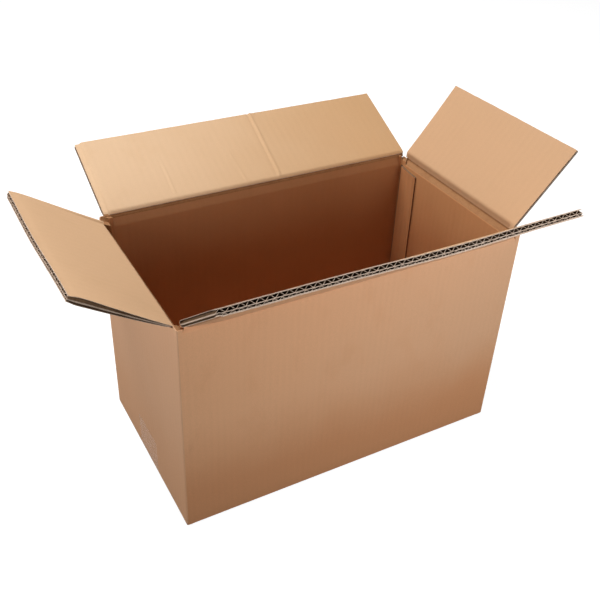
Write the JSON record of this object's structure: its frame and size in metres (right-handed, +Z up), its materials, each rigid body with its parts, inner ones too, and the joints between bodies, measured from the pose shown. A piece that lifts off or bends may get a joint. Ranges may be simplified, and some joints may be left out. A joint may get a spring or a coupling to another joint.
{
  "type": "corrugated shipping box",
  "caption": "Open slotted shipping box of fluted double-wall board, with hinged top flaps, a glued corner seam and a taped bottom, for packing and posting goods.",
  "frame": {"origin": "under the middle of the box, on the surface that it stands on", "axes": "+X along the long panels, +Y along the short panels towards the back panel, +Z up out of the mouth"},
  "size_m": [0.489, 0.3399, 0.2982],
  "materials": {
    "wall_board": "brown kraft liner, matt, with faint flute lines",
    "flap_board": "brown kraft liner, matt, with open flutes at the cut edges",
    "clear_tape": "clear packing tape"
  },
  "bodies": {
    "box": {"box_body": "wall_board", "bottom_tape": "clear_tape"},
    "front_flap": {"front_flap": "flap_board"},
    "back_flap": {"back_flap": "flap_board"},
    "left_flap": {"left_flap": "flap_board"},
    "right_flap": {"right_flap": "flap_board"}
  },
  "joints": [
    {"name": "front_crease", "type": "hinge", "parent": "box", "child": "front_flap", "pos_m": [0, -0.0925, 0.2288], "axis": [1, 0, 0], "range_deg": [-141, 74]},
    {"name": "back_crease", "type": "hinge", "parent": "box", "child": "back_flap", "pos_m": [0, 0.0925, 0.2288], "axis": [-1, 0, 0], "range_deg": [-155, 60]},
    {"name": "left_crease", "type": "hinge", "parent": "box", "child": "left_flap", "pos_m": [-0.1715, 0, 0.2245], "axis": [0, -1, 0], "range_deg": [-151, 64]},
    {"name": "right_crease", "type": "hinge", "parent": "box", "child": "right_flap", "pos_m": [0.1715, 0, 0.2245], "axis": [0, 1, 0], "range_deg": [-132, 83]}
  ]
}
